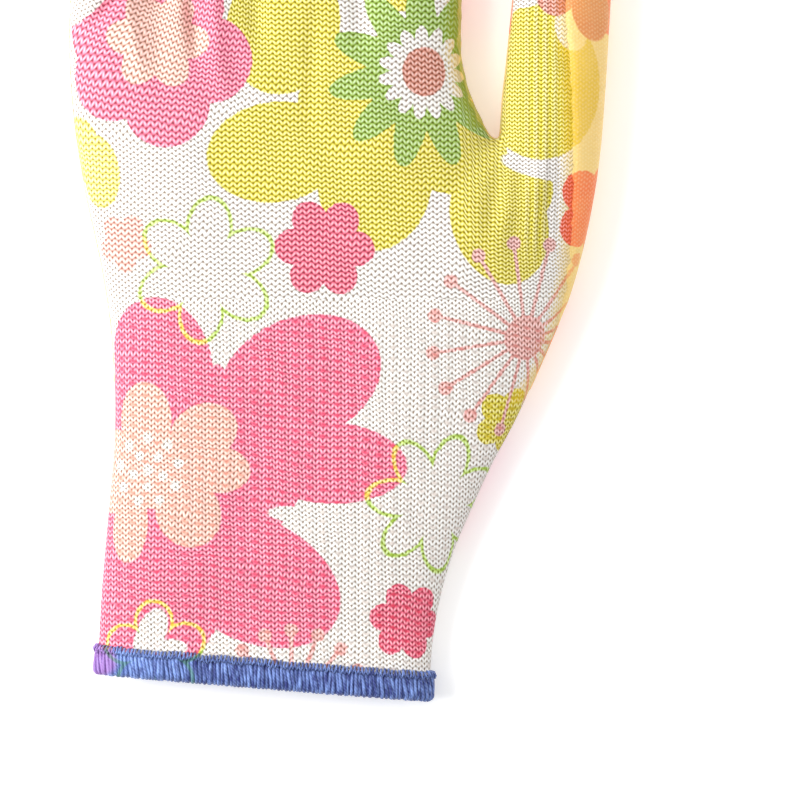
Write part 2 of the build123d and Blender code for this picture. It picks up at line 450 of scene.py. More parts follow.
VERTEX_SIDE = np.repeat([0, 1], len(FLAT))
INTO = into_film(np.vstack([FLAT, FLAT]), VERTEX_SIDE)
FILM_SURFACE = SURFACE + NORMALS * ((FILM_THICK + FILM_SUNK) * smooth(-0.5, 0.9, INTO) - FILM_SUNK)[:, None]
FILM_NORMALS = vertex_normals(FILM_SURFACE, FACES)
IN_FILM = (INTO[FACES] > -0.8).any(1)


# ---- meshes ----
def place(points, side):
    """From the flat drawing's millimetres to the frame's metres."""
    out = np.array(points, float)
    if side == "right":
        out[:, 2] = THICKNESS - out[:, 2]
    out[:, 0] += SHIFT[side]
    return out * MM


THICKNESS = SURFACE[:, 2].max() + FLOOR_GAP


def shell(name, side, chosen, outer, inner, normals, material):
    """A closed piece of cloth or film from some of the surface's faces, with an inside and a rim."""
    faces, uv = FACES[chosen], UV[chosen]
    used, index = np.unique(faces, return_inverse=True)
    index = index.reshape(faces.shape)
    count = len(used)
    flip = side == "right"
    layer = index[:, ::-1] if flip else index
    layer_uv = uv[:, ::-1] if flip else uv
    edges = {}
    for number, face in enumerate(layer):
        for a in range(3):
            edges[(face[a], face[(a + 1) % 3])] = (number, a)
    rim, rim_uv = [], []
    for (a, b), (number, corner) in edges.items():
        if (b, a) not in edges:
            rim.append((b, a, a + count, b + count))
            ua, ub = layer_uv[number][corner], layer_uv[number][(corner + 1) % 3]
            rim_uv.append((ub, ua, ua, ub))
    mesh = bpy.data.meshes.new(name)
    points = place(np.vstack([outer[used], inner[used]]), side)
    back = layer[:, ::-1] + count
    polygons = [tuple(map(int, f)) for f in layer] + [tuple(map(int, f)) for f in back]
    polygons += [tuple(map(int, f)) for f in rim]
    mesh.from_pydata([tuple(p) for p in points], [], polygons)
    corners = np.concatenate([layer_uv.reshape(-1, 2), layer_uv[:, ::-1].reshape(-1, 2),
                              np.array(rim_uv, float).reshape(-1, 2)])
    layer_map = mesh.uv_layers.new(name="cloth")
    layer_map.data.foreach_set("uv", (corners * UV_SCALE).ravel().astype(np.float32))
    soak = mesh.attributes.new("soak", "FLOAT", "POINT")
    soak.data.foreach_set("value", np.tile(INTO[used], 2).astype(np.float32))
    mesh.shade_smooth()
    direction = normals[used].copy()
    if flip:
        direction[:, 2] *= -1
    # the rim keeps the normals that Blender gives it
    loops = np.concatenate([
        direction[layer.ravel()], -direction[(back - count).ravel()], np.zeros((4 * len(rim), 3)),
    ])
    mesh.normals_split_custom_set([tuple(n) for n in loops])
    mesh.materials.append(material)
    piece = bpy.data.objects.new(name, mesh)
    bpy.context.collection.objects.link(piece)
    return piece


def bend(piece, side, part):
    """Bakes a finger's piece's placement into its mesh; the ends of its bend and the body before it are
    worked out but not used, so the piece does not bend.
    """
    name, length = part.split("_")
    first, second = knuckle(name)
    along = (second - first) / np.linalg.norm(second - first)
    joint = first if length == "base" else second
    start, end = joint - BEND_REACH * along, joint + BEND_REACH * along
    at = [place([(p[0], p[1], JOINT_HEIGHT)], side)[0] for p in (start, end)]
    before = f"{side}_hand" if length == "base" else f"{side}_{name}_base"
    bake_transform(piece)


# ---- shader arithmetic ----
class Value:
    """A number worked out by shader nodes, written as ordinary arithmetic."""

    def __init__(self, tree, socket):
        self.tree, self.socket = tree, socket

    def use(self, operation, *others, clamp=False):
        node = self.tree.nodes.new("ShaderNodeMath")
        node.operation, node.use_clamp = operation, clamp
        for number, item in enumerate((self,) + others):
            if isinstance(item, Value):
                self.tree.links.new(item.socket, node.inputs[number])
            else:
                node.inputs[number].default_value = item
        return Value(self.tree, node.outputs[0])

    def __add__(self, other): return self.use("ADD", other)
    def __sub__(self, other): return self.use("SUBTRACT", other)
    def __mul__(self, other): return self.use("MULTIPLY", other)
    def __rsub__(self, other): return self.use("MULTIPLY", -1.0) + other
    __radd__, __rmul__ = __add__, __mul__


def uv_map(tree, name):
    """A UV map's coordinates."""
    node = tree.nodes.new("ShaderNodeUVMap")
    node.uv_map = name
    return node.outputs[0]


def two_numbers(tree, where, scale=1.0):
    """A UV map's two numbers."""
    parts = tree.nodes.new("ShaderNodeSeparateXYZ")
    tree.links.new(where, parts.inputs[0])
    u, v = Value(tree, parts.outputs[0]), Value(tree, parts.outputs[1])
    return (u, v) if scale == 1.0 else (u * scale, v * scale)


def cloudy(tree, where, scale, detail):
    """Soft noise laid out by a UV map, about 0 to 1."""
    node = tree.nodes.new("ShaderNodeTexNoise")
    node.inputs["Scale"].default_value = scale
    node.inputs["Detail"].default_value = detail
    tree.links.new(where, node.inputs["Vector"])
    return Value(tree, node.outputs[0])


def edge_mask(inside, soft=0.12):
    """1 where inside is positive, 0 where it is negative, with a soft step between."""
    return inside.use("MULTIPLY_ADD", 0.5 / soft, 0.5, clamp=True)


def colour_node(tree, first, second):
    """A node between two colours, each one plain or worked out."""
    node = tree.nodes.new("ShaderNodeMix")
    node.data_type = "RGBA"
    for socket, colour in ((node.inputs[6], first), (node.inputs[7], second)):
        if isinstance(colour, tuple):
            socket.default_value = (*colour, 1)
        else:
            tree.links.new(colour, socket)
    return node


def mix(tree, factor, first, second):
    """A colour between two others."""
    node = colour_node(tree, first, second)
    tree.links.new(factor.socket, node.inputs["Factor"])
    return node.outputs[2]


def multiply(tree, first, second):
    """The colour that one gives as a tint over the other."""
    node = colour_node(tree, first, second)
    node.blend_type = "MULTIPLY"
    node.inputs["Factor"].default_value = 1.0
    return node.outputs[2]


def srgb(red, green, blue):
    """A colour from its screen values, 0 to 255."""
    def line(v):
        v = v / 255
        return v / 12.92 if v <= 0.04045 else ((v + 0.055) / 1.055) ** 2.4
    return line(red), line(green), line(blue)


WHITE = srgb(236, 233, 229)
PINK = srgb(243, 116, 150)
ROSE = srgb(236, 98, 128)
PEACH = srgb(244, 190, 174)
YELLOW = srgb(222, 209, 50)
PALE_YELLOW = srgb(244, 232, 112)
PALE_PINK = srgb(246, 186, 174)
GREEN = srgb(150, 186, 66)
LIME = srgb(186, 216, 96)
CORAL = srgb(214, 138, 118)
CORAL_LINE = srgb(232, 172, 166)
RED = srgb(238, 104, 78)


def flower(u, v, x, y, size, petals, dip, turn=0.0, power=1.0):
    """How far inside a flower a point is: petals round a middle, dip is how deep they are parted."""
    dx, dy = u - x, v - y
    angle = dy.use("ARCTAN2", dx)
    radius = (dx * dx + dy * dy).use("SQRT")
    lobe = (angle * (petals / 2.0) + turn).use("COSINE").use("ABSOLUTE")
    if power != 1.0:
        lobe = lobe.use("POWER", power)
    rim = lobe.use("MULTIPLY_ADD", size * dip, size * (1 - dip))
    return rim - radius


def ellipse(u, v, x, y, wide, high, turn=0.0):
    """How far inside an ellipse a point is, roughly in millimetres."""
    c, s = math.cos(math.radians(turn)), math.sin(math.radians(turn))
    dx, dy = u - x, v - y
    a = (dx * c).use("ADD", dy * s) * (1 / wide)
    b = (dy * c).use("SUBTRACT", dx * s) * (1 / high)
    return (1.0 - (a * a + b * b).use("SQRT")) * min(wide, high)


def union(fields):
    """How far inside any of several shapes a point is."""
    total = fields[0]
    for field in fields[1:]:
        total = total.use("MAXIMUM", field)
    return total


def starburst(u, v, x, y, size, rays, thin, dot, disc, turn=0.0):
    """A disc with thin rays that end in dots."""
    along, side = folded(u, v, x, y, rays, turn)
    line = side.use("ABSOLUTE").use("MULTIPLY_ADD", -1.0, thin)
    line = line.use("MINIMUM", size - along)
    end = along - size
    spot = (end * end + side * side).use("SQRT").use("MULTIPLY_ADD", -1.0, dot)
    return union([line, spot, ellipse(u, v, x, y, disc, disc)])


# Flowers drawn only in line: middle, size, number of petals and turn
LINE_FLOWERS = [
    (-26.9, -25.5, 14.4, 6, 1.47), (20.2, -73.0, 14.0, 7, 1.22), (-37.5, -103.6, 10.4, 5, 0.35),
    (-26.0, 90.0, 8.0, 5, 0.2),
]
HEM_FLOWER = LINE_FLOWERS[2]  # it runs on over the hem's thread


def folded(u, v, x, y, count, turn):
    """Places round a middle folded onto one of its rays: how far along it and how far to its side."""
    dx, dy = u - x, v - y
    part = 2 * math.pi / count
    angle = (dy.use("ARCTAN2", dx) - turn) * (1 / part) + (count + 0.5)
    radius = (dx * dx + dy * dy).use("SQRT")
    off = (angle.use("FRACT") - 0.5) * part
    return radius * off.use("COSINE"), radius * off.use("SINE")


def line_flower(u, v, x, y, size, count, turn):
    """A flower's outline: oval petals side by side, deeply parted."""
    along, side = folded(u, v, x, y, count, turn)
    inside = ellipse(along, side, 0.60 * size, 0.0, 0.42 * size, 1.85 * size / count)
    line = inside.use("ABSOLUTE").use("MULTIPLY_ADD", -1.0, 0.36)
    return line.use("MINIMUM", along - 0.36 * size)


def print_group():
    """The floral print, as a node group that gives its colour at a place on the cloth."""
    tree = bpy.data.node_groups.new("floral_print", "ShaderNodeTree")
    tree.interface.new_socket("Colour", in_out="OUTPUT", socket_type="NodeSocketColor")
    out = tree.nodes.new("NodeGroupOutput")
    where = uv_map(tree, "cloth")
    u, v = two_numbers(tree, where, 1 / UV_SCALE)
    # the palm side carries the same flowers, turned over and moved along
    palm = u.use("GREATER_THAN", BACK_TO_PALM / 2)
    away = u.use("SUBTRACT", BACK_TO_PALM)
    u = u + palm * (away * -1.0 - 6.0 - u)
    v = v + palm * -22.0
    # a little unevenness where the ink meets the stitches
    shake = (cloudy(tree, where, 90.0, 1.0) - 0.5) * 0.55
    u, v = u + shake, v - shake

    def oval(*shape):
        return ellipse(u, v, *shape)

    def bloom(*shape):
        return flower(u, v, *shape)

    def burst(*shape):
        return starburst(u, v, *shape)

    # each ink and the shapes it fills, one over the other, in the drawing's millimetres
    layers = [
        # yellow flower across the back, its far petals on the thumb and the fingers
        (YELLOW, oval(-12.6, -1.6, 14.0, 10.2, 8), oval(-11.0, 24.0, 11.5, 14.0, -12),
         oval(7.6, -7.2, 11.6, 14.4, -4), oval(33.0, -15.6, 9.8, 13.2, 20),
         oval(10.0, 8.6, 18.0, 13.5, 0), oval(22.0, 0.0, 13.0, 9.6, -22),
         oval(38.4, -9.4, 5.6, 6.2, 0), oval(12.0, 42.0, 13.0, 15.0, 10)),
        (WHITE, oval(44.4, -4.4, 11.2, 3.1, -9)),
        (YELLOW, oval(41.0, 13.0, 12.4, 16.0, 4), oval(46.5, 46.0, 9.0, 8.0, 0)),
        (WHITE, oval(47.4, 23.4, 3.0, 4.4, 20), oval(38.0, 31.4, 5.0, 3.2, 0)),
        # green daisy, its white star and its disc
        (GREEN, bloom(17.6, 14.6, 19.6, 11, 0.40, 0.5, 1.3).use("MINIMUM", 31.5 - u)),
        (WHITE, bloom(17.8, 14.7, 9.6, 15, 0.30, 0.2, 0.8)),
        (CORAL, oval(17.8, 14.9, 4.6, 5.0)),
        # hot pink flower at the little finger, with a peach one in it
        (PINK, bloom(-36.6, 18.6, 19.4, 5, 0.24, 0.35, 0.8),
         oval(-46.0, 24.0, 9.5, 12.0, 10)),
        (WHITE, oval(-53.0, 30.6, 8.4, 4.6, 38)),
        (PEACH, bloom(-36.6, 21.5, 10.6, 6, 0.30, 0.2)),
        # the big pink flower on the cuff
        (PINK, oval(-37.0, -46.0, 11.6, 15.0, 4), oval(-7.6, -47.6, 17.0, 12.4, 22),
         oval(-2.2, -64.6, 16.4, 8.4, -4), oval(-17.4, -88.6, 19.0, 12.6, -26),
         oval(-40.6, -94.0, 17.0, 15.0, 20), oval(-27.0, -66.0, 20.0, 18.0, 0),
         oval(-46.0, -70.0, 10.0, 24.0, 0), oval(-24.6, -47.6, 2.0, 3.0)),
        (WHITE, oval(-7.6, -75.4, 6.8, 1.7, -5)),
        (PEACH, oval(-39.8, -56.0, 5.8, 7.8, 0), oval(-27.4, -58.6, 7.2, 5.8, 26),
         oval(-24.6, -66.0, 6.8, 4.8, -6), oval(-30.6, -74.8, 6.6, 7.4, 30),
         oval(-43.0, -77.4, 4.0, 7.8, -4), oval(-47.4, -66.4, 6.0, 8.6, 0),
         oval(-37.0, -66.2, 9.4, 8.0, 0)),
        (WHITE, burst(-39.0, -66.2, 6.6, 9, 0.0, 1.05, 1.1, 0.2)),
        (WHITE, burst(-39.0, -66.2, 3.4, 5, 0.0, 1.0, 1.1, 0.9)),
        # small flowers
        (PALE_YELLOW, oval(-49.6, -5.4, 5.0, 7.6, 10), oval(-55.0, -1.0, 6.0, 7.0)),
        (PALE_PINK, bloom(-44.0, -20.0, 6.2, 5, 0.34, 0.6)),
        (ROSE, bloom(-2.6, -21.0, 10.2, 6, 0.30, 0.1, 0.8)),
        (YELLOW, bloom(35.4, -56.6, 7.2, 5, 0.30, 0.4)),
        (ROSE, bloom(14.4, -97.2, 8.0, 6, 0.30, 0.5, 0.8)),
        (RED, bloom(55.0, -13.2, 10.4, 5, 0.30, 0.1, 0.8), oval(55.6, 27.5, 3.0, 4.6),
         bloom(56.0, 47.0, 7.0, 5, 0.3)),
        (CORAL, oval(44.4, 31.6, 4.2, 5.4), oval(51.6, 27.6, 4.0, 6.4, 10)),
        (WHITE, oval(-38.4, -99.8, 3.0, 5.6, -24), oval(-34.2, -102.6, 3.4, 1.8, 0)),
        # fingers
        (PINK, bloom(-27.0, 66.0, 13.6, 5, 0.30, 0.2, 0.8), bloom(16.0, 92.0, 12.0, 5, 0.28)),
        (PEACH, bloom(-27.0, 66.0, 6.2, 6, 0.30), bloom(16.0, 92.0, 5.6, 6, 0.30)),
        (YELLOW, bloom(-50.0, 74.0, 9.0, 5, 0.30, 0.3), bloom(-7.0, 96.0, 12.0, 5, 0.30, 0.5)),
        (GREEN, bloom(13.0, 66.0, 10.5, 9, 0.35, 0.3)),
        (WHITE, bloom(13.0, 66.0, 5.0, 12, 0.30)),
        (ROSE, bloom(-48.0, 52.0, 6.6, 5, 0.32), bloom(-5.0, 66.0, 8.0, 6, 0.30)),
        (CORAL, oval(13.0, 66.0, 2.4, 2.4), oval(-7.0, 96.0, 3.0, 3.0)),
        # starbursts
        (CORAL_LINE, burst(-9.4, -114.0, 15.0, 17, 0.42, 1.4, 2.0, 0.1)),
        (CORAL_LINE, burst(38.8, -39.4, 19.6, 16, 0.38, 1.45, 4.6, 0.15)),
    ]
    colour = WHITE
    for ink, *shapes in layers:
        colour = mix(tree, edge_mask(union(shapes)), colour, ink)
    # line drawings of flowers: green on the white ground, yellow where they cross another ink
    lines = union([line_flower(u, v, *drawn) for drawn in LINE_FLOWERS])
    grey = tree.nodes.new("ShaderNodeSeparateColor")
    tree.links.new(colour, grey.inputs[0])
    on_white = Value(tree, grey.outputs[1]).use("GREATER_THAN", 0.6)
    line_colour = mix(tree, on_white, srgb(246, 214, 92), LIME)
    colour = mix(tree, edge_mask(lines), colour, line_colour)
    tree.links.new(colour, out.inputs[0])
    return tree


def knit_group(name, wale, course, zigzag, rib):
    """The stitches: the yarn's height, the holes between rows, the deep stitches, and the strands' tops,
    which the cloth paints paler as part un-inked yarn and part highlight.
    """
    tree = bpy.data.node_groups.new(name, "ShaderNodeTree")
    for output in ("Height", "Hole", "Deep", "Light"):
        tree.interface.new_socket(output, in_out="OUTPUT", socket_type="NodeSocketFloat")
    out = tree.nodes.new("NodeGroupOutput")
    where = uv_map(tree, "cloth")
    u, v = two_numbers(tree, where, 1 / UV_SCALE)
    drift = (cloudy(tree, where, 9.0, 2.0) - 0.5) * 2.6
    # the wales lean where the little finger pulls on them
    pulled = (u * -0.04 - 0.55).use("MULTIPLY", 1.0, clamp=True) * (v * 0.04).use("MULTIPLY", 1.0, clamp=True)
    x = u + drift * 0.5 - pulled * v * 0.3
    # the rows dip slightly towards the thumb
    y = v + x * 0.07 + drift + pulled * u * 0.12
    # the thumb's stitches are finer, and their rows slope down to it across the web
    back = u.use("LESS_THAN", BACK_TO_PALM / 2)
    thumb = ((u - 25.0) * (1 / 9)).use("MULTIPLY", 1.0, clamp=True) * back
    y = y + (v + 35.0).use("MAXIMUM", 0.0) * thumb * 0.32
    x = x + (u - 34.0).use("MAXIMUM", 0.0) * ((v + 45.0) * 0.04).use("MULTIPLY", 1.0, clamp=True) * back * 0.3
    across = x * (1 / wale)
    wave = (across * (2 * math.pi)).use("COSINE")
    row = y * (1 / course) + wave * (0.5 * zigzag)
    strand = (row * math.pi).use("SINE").use("ABSOLUTE")
    # the stitches' tips, where the holes are: they stand further apart in the rib
    tips = wave.use("ABSOLUTE").use("POWER", 3.2 if rib else 1.9)
    gap = 1.0 - strand.use("POWER", 0.8)
    between = 0.06 if rib else 0.14
    hole = (gap * (tips * (1.0 - between) + between)).use("MULTIPLY", 2.1 if rib else 1.65, clamp=True)
    height = strand.use("POWER", 0.6)
    # the strands' tops: part paler un-inked yarn, part painted highlight
    light = strand.use("POWER", 3.0) * (1.0 - tips * (0.95 if rib else 0.7))
    if rib:
        # two wales by two courses: one deep stitch among raised ones, fading in below the palm
        fade = ((v + CUFF_TOP * -1.0) * -0.2).use("MULTIPLY", 1.0, clamp=True)
        wide = (x * (math.pi / wale)).use("COSINE") * 0.5 + 0.5
        tall = (y * (math.pi / course) + x * 0.25).use("COSINE") * 0.5 + 0.5
        deep = (wide.use("POWER", 1.3) * tall.use("POWER", 4.0)) * fade
        height = height * 0.7 + (1.0 - deep) * 0.5
        light = light * (1.0 - deep)
        hole = hole * (1.0 - deep)
        tree.links.new(deep.socket, out.inputs["Deep"])
    else:
        # puckers along the thumb, beside the film, with a painted highlight along their ridges
        near_film = ((u - 41.4) * (u - 41.4) * -0.045 + 1.0).use("MULTIPLY", 1.0, clamp=True)
        up = ((v + 27.0) * 0.12).use("MULTIPLY", 1.0, clamp=True)
        pucker = (u * (2 * math.pi / 1.9)).use("SINE") * near_film * up
        height = height + pucker * 0.5
        light = light + pucker * 0.3
    tree.links.new(height.socket, out.inputs["Height"])
    tree.links.new(hole.socket, out.inputs["Hole"])
    tree.links.new(light.socket, out.inputs["Light"])
    return tree


def group_node(tree, group):
    """A node that uses a group."""
    node = tree.nodes.new("ShaderNodeGroup")
    node.node_tree = group
    return node


def new_material(name, roughness, **plain):
    """A material and its shader, with plain values on the shader's own sockets."""
    material = bpy.data.materials.new(name)
    material.use_nodes = True
    tree = material.node_tree
    shader = tree.nodes["Principled BSDF"]
    shader.inputs["Roughness"].default_value = roughness
    for socket, value in plain.items():
        shader.inputs[socket.replace("_", " ")].default_value = value
    return material, tree, shader


def bump(tree, shader, height, distance):
    """Relief in the shading, as deep as distance in metres."""
    node = tree.nodes.new("ShaderNodeBump")
    node.inputs["Distance"].default_value = distance
    node.inputs["Strength"].default_value = 1.0
    tree.links.new(height, node.inputs["Height"])
    tree.links.new(node.outputs[0], shader.inputs["Normal"])


PRINT = print_group()
KNIT = knit_group("flat_knit", WALE, COURSE, 0.5, False)
RIB = knit_group("rib_knit", RIB_WALE, RIB_COURSE, 0.55, True)
# the colour of the painted shade in the holes between stitches
HOLE_SHADE = srgb(138, 114, 88)
AMBER = srgb(255, 224, 140)
DEEP_SHADE_TINT = srgb(240, 226, 222)


def soak(tree):
    """How far inside the film's edge a point is, millimetres."""
    node = tree.nodes.new("ShaderNodeAttribute")
    node.attribute_name = "soak"
    return Value(tree, node.outputs["Fac"])


def cloth_material(name, knit, depth, holes):
    """Printed yarn: painted shade in its holes and deep stitches, its strands' tops paler, part un-inked yarn
    and part painted highlight, and tinted where the film has soaked in beyond its edge.
    """
    material, tree, shader = new_material(name, 0.72, Sheen_Weight=0.12, Sheen_Roughness=0.4,
                                          Specular_IOR_Level=0.25)
    ink = group_node(tree, PRINT)
    stitches = group_node(tree, knit)
    hole = Value(tree, stitches.outputs["Hole"])
    # the strands' tops mixed towards white: paler un-inked yarn and a painted highlight
    colour = mix(tree, Value(tree, stitches.outputs["Light"]) * 0.42, ink.outputs[0], (1.0, 1.0, 1.0))
    # painted shade in the rib's recessed deep stitches: the ink darkened there
    dark = multiply(tree, multiply(tree, ink.outputs[0], ink.outputs[0]), DEEP_SHADE_TINT)
    colour = mix(tree, Value(tree, stitches.outputs["Deep"]) * 0.7, colour, dark)
    # painted shade in the holes between stitches, tinted by the ink
    colour = mix(tree, hole * holes, colour, multiply(tree, ink.outputs[0], HOLE_SHADE))
    wet = ((soak(tree) + 2.6 + hole * 1.6) * 0.36).use("MULTIPLY", 1.0, clamp=True)
    colour = mix(tree, wet * 0.85, colour, multiply(tree, ink.outputs[0], AMBER))
    tree.links.new(colour, shader.inputs["Base Color"])
    bump(tree, shader, stitches.outputs["Height"], depth)
    return material


def film_material():
    """Translucent amber film over the printed cloth."""
    material, tree, shader = new_material("amber_film", 0.44, Coat_Weight=0.10, Coat_Roughness=0.32,
                                          Specular_IOR_Level=0.32)
    ink = group_node(tree, PRINT)
    stitches = group_node(tree, KNIT)
    tint = multiply(tree, ink.outputs[0], AMBER)
    colour = mix(tree, Value(tree, stitches.outputs["Hole"]) * 0.3, tint, srgb(255, 236, 190))
    colour = mix(tree, Value(tree, stitches.outputs["Light"]) * 0.09, colour, srgb(222, 160, 76))
    where = uv_map(tree, "cloth")
    colour = mix(tree, cloudy(tree, where, 14.0, 4.0) * 0.35, colour, srgb(255, 216, 128))
    tree.links.new(colour, shader.inputs["Base Color"])
    level = Value(tree, stitches.outputs["Height"]) * 0.3 + cloudy(tree, where, 120.0, 3.0) * 0.8
    bump(tree, shader, level.socket, 0.00016)
    return material


def thread_material():
    """Blue overlock thread, with the print's ink on it at the little finger's side and the line flower."""
    material, tree, shader = new_material("blue_thread", 0.42, Sheen_Weight=0.2, Specular_IOR_Level=0.45)
    strand = uv_map(tree, "strand")
    around, along = two_numbers(tree, strand)
    twist = ((around + along * 1.6) * (2 * math.pi * 3)).use("SINE") * 0.5 + 0.5
    u, v = two_numbers(tree, uv_map(tree, "cloth"), 1 / UV_SCALE)
    # painted light: the thread turns paler towards its left end, where the light falls strongest
    painted_light_left = ((u + 28.0) * -0.02).use("MULTIPLY", 1.0, clamp=True)
    uneven = cloudy(tree, strand, 1.7, 3.0) * 2.6
    shade = (twist * 0.25 + uneven - 1.05 + painted_light_left).use("MULTIPLY", 1.0, clamp=True)
    blue = mix(tree, shade, srgb(28, 42, 116), srgb(132, 162, 228))
    inked = edge_mask(ellipse(u, v, -50.6, -104.6, 5.4, 4.0, -20), 0.5)
    blue = mix(tree, inked * 0.7, blue, srgb(164, 96, 176))
    line = line_flower(u, v, *HEM_FLOWER)
    blue = mix(tree, edge_mask(line) * 0.6, blue, srgb(60, 128, 84))
    tree.links.new(blue, shader.inputs["Base Color"])
    bump(tree, shader, twist.socket, 0.00006)
    return material


KNITTED = cloth_material("printed_knit", KNIT, 0.00020, 0.88)
RIBBED = cloth_material("printed_rib", RIB, 0.00024, 0.92)
FILM = film_material()
THREAD = thread_material()


# ---- the sewn edge ----
HEM_TALL = 4.3
THREAD_GAP = 0.76


def hem_loop():
    """Points round the cuff's open end, in millimetres, and how far round it each one lies."""
    a, b = np.array(HEM_LEFT), np.array(HEM_RIGHT)
    turns = np.linspace(0, 2 * math.pi, 721)[:-1]
    share = 0.5 - 0.5 * np.cos(turns)
    flat = a + (b - a) * np.clip(share, 0.0015, 0.9985)[:, None]
    distance, _ = nearest_on_outline(flat)
    half, reach = fullness(flat)
    rise = half * np.sqrt(1 - (1 - np.clip(distance / reach, 0, 1)) ** 2)
    sign = np.where(turns < math.pi, 1.0, -1.0)
    loop = np.column_stack([flat, mid_height(flat, half) + sign * rise])
    steps = np.linalg.norm(np.diff(np.vstack([loop, loop[:1]]), axis=0), axis=1)
    return loop, np.concatenate([[0], np.cumsum(steps)])


def tube(path, radius, sides, spread):
    """Vertices, faces and UVs of a round strand along a path, closed at both ends; V starts at spread."""
    path = np.array(path)
    run = np.gradient(path, axis=0)
    run /= np.linalg.norm(run, axis=1)[:, None]
    up = np.array([0.31, 0.17, 0.93])
    u = np.cross(run, up)
    u /= np.linalg.norm(u, axis=1)[:, None]
    v = np.cross(run, u)
    verts = []
    for number, (point, a, b) in enumerate(zip(path, u, v)):
        end = 0.55 if number in (0, len(path) - 1) else 1.0
        for turn in np.arange(sides) * 2 * math.pi / sides:
            verts.append(point + radius * end * (a * math.cos(turn) + b * math.sin(turn)))
    faces, strand = [], []
    for ring in range(len(path) - 1):
        for turn in range(sides):
            nxt = (turn + 1) % sides
            here, there = ring * sides, (ring + 1) * sides
            faces.append((here + turn, here + nxt, there + nxt, there + turn))
            near, far = spread + ring * 0.2, spread + ring * 0.2 + 0.2
            a, b = turn / sides, (turn + 1) / sides
            strand.append([(a, near), (b, near), (b, far), (a, far)])
    last = (len(path) - 1) * sides
    faces.append(tuple(range(sides))[::-1])
    faces.append(tuple(range(last, last + sides)))
    strand += [[(0.5, spread)] * sides, [(0.5, spread)] * sides]
    return verts, faces, strand


def hem_edge(side):
    """The overlock thread round the hem: close wraps over the cloth's edge, and a chain along their tops."""
    rng = random.Random(11)
    loop, length = hem_loop()
    closed = np.vstack([loop, loop[:1]])
    tilt = np.array(HEM_RIGHT) - np.array(HEM_LEFT)
    tilt = tilt / np.linalg.norm(tilt)
    down = np.array([tilt[1], -tilt[0], 0.0])
    centre = loop.mean(0)

    def at(distance):
        """A place on the hem's loop, the way along it and the way outwards."""
        distance = distance % length[-1]
        point = np.array([np.interp(distance, length, closed[:, k]) for k in range(3)])
        ahead = np.array([np.interp((distance + 0.8) % length[-1], length, closed[:, k]) for k in range(3)])
        back = np.array([np.interp((distance - 0.8) % length[-1], length, closed[:, k]) for k in range(3)])
        along = (ahead - back) / np.linalg.norm(ahead - back)
        out = np.cross(along, down)
        out /= np.linalg.norm(out)
        if out @ (point - centre) < 0:
            out = -out
        return point, along, out

    verts, faces, strands = [], [], []

    def add_tube(path, radius, sides):
        more, polygons, strand = tube(path, radius, sides, rng.uniform(0, 400))
        first = len(verts)
        verts.extend(more)
        faces.extend([tuple(i + first for i in f) for f in polygons])
        strands.extend(strand)

    count = int(length[-1] / THREAD_GAP)
    for number in range(count):
        start = (number + rng.uniform(-0.12, 0.12)) * length[-1] / count
        point, along, out = at(start)
        lean = rng.uniform(0.1, 1.0)
        tall = HEM_TALL * rng.uniform(0.94, 1.04)
        bulge = 0.62 + rng.uniform(-0.08, 0.14)
        path = []
        low = HEM_TALL * 0.5
        for t in np.linspace(0, 1, 7):
            path.append(point + down * (low - tall * (1 - t)) + along * lean * (t - 0.5) * 1.4
                        + out * bulge * (0.35 + 0.65 * math.sin(math.pi * (0.12 + 0.88 * t) * 0.62)))
        for turn in (30, 70, 110, 150):
            a = math.radians(turn)
            path.append(point + down * (low + 0.85 * math.sin(a)) + along * lean * 0.7
                        + out * (-0.35 + 0.9 * math.cos(a)))
        path.append(point + down * (low - 1.6) + along * lean * 0.5 + out * -1.3)
        path.append(point + down * (low - 3.4) + along * lean * 0.2 + out * -1.25)
        add_tube(path, 0.37 + rng.uniform(-0.07, 0.07), 7)
        # the chain stitch along the top of the wraps
        rise = low - tall
        for way in (-1, 1):
            chain = [
                point + down * (rise + 0.75) + out * 1.0,
                point + down * (rise + 0.1) + along * 0.28 * way + out * 1.12,
                point + down * (rise - 0.65) + along * 0.42 * way + out * 0.6,
                point + down * (rise - 0.8) + along * 0.4 * way + out * -0.3,
            ]
            add_tube(chain, 0.2, 6)
    # a closed band of laid threads under the wraps
    steps = 240
    low = HEM_TALL * 0.5
    profile = [
        (-HEM_TALL * 0.46, 0.3), (0.0, 0.6), (low, 0.55), (low + 0.75, 0.25), (low + 0.95, -0.35),
        (low + 0.6, -1.0), (-0.5, -1.25), (-HEM_TALL * 0.46, -0.6),
    ]
    first = len(verts)
    for step in range(steps):
        point, along, out = at(step * length[-1] / steps)
        for drop, proud in profile:
            verts.append(point + down * drop + out * proud)
    size = len(profile)
    for step in range(steps):
        for k in range(size):
            a, b = first + step * size + k, first + step * size + (k + 1) % size
            c = first + ((step + 1) % steps) * size + (k + 1) % size
            d = first + ((step + 1) % steps) * size + k
            faces.append((a, b, c, d))
            strands.append([(0, 0), (0.2, 0), (0.2, 0.2), (0, 0.2)])
    mesh = bpy.data.meshes.new(side + "_hem_thread")
    mesh.from_pydata([tuple(p) for p in place(verts, side)], [], faces)
    cloth = mesh.uv_layers.new(name="cloth")
    strand = mesh.uv_layers.new(name="strand")
    flat = np.array([verts[i][:2] for face in faces for i in face]) * UV_SCALE
    cloth.data.foreach_set("uv", flat.ravel().astype(np.float32))
    laid = np.array([p for face in strands for p in face])
    strand.data.foreach_set("uv", laid.ravel().astype(np.float32))
    mesh.shade_smooth()
    mesh.materials.append(THREAD)
    piece = bpy.data.objects.new(side + "_hem_thread", mesh)
    bpy.context.collection.objects.link(piece)
    return piece


# ---- the gloves ----
def attach(piece, side, part, node):
    """Stands a piece in for its CAD node; the cuff's and palm's pieces move with the hand's body, while a
    finger's piece is tied to no body.
    """
    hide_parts(node)
    if part in ("cuff", "palm"):
        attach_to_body(piece, f"{side}_hand")
    else:
        bend(piece, side, part)


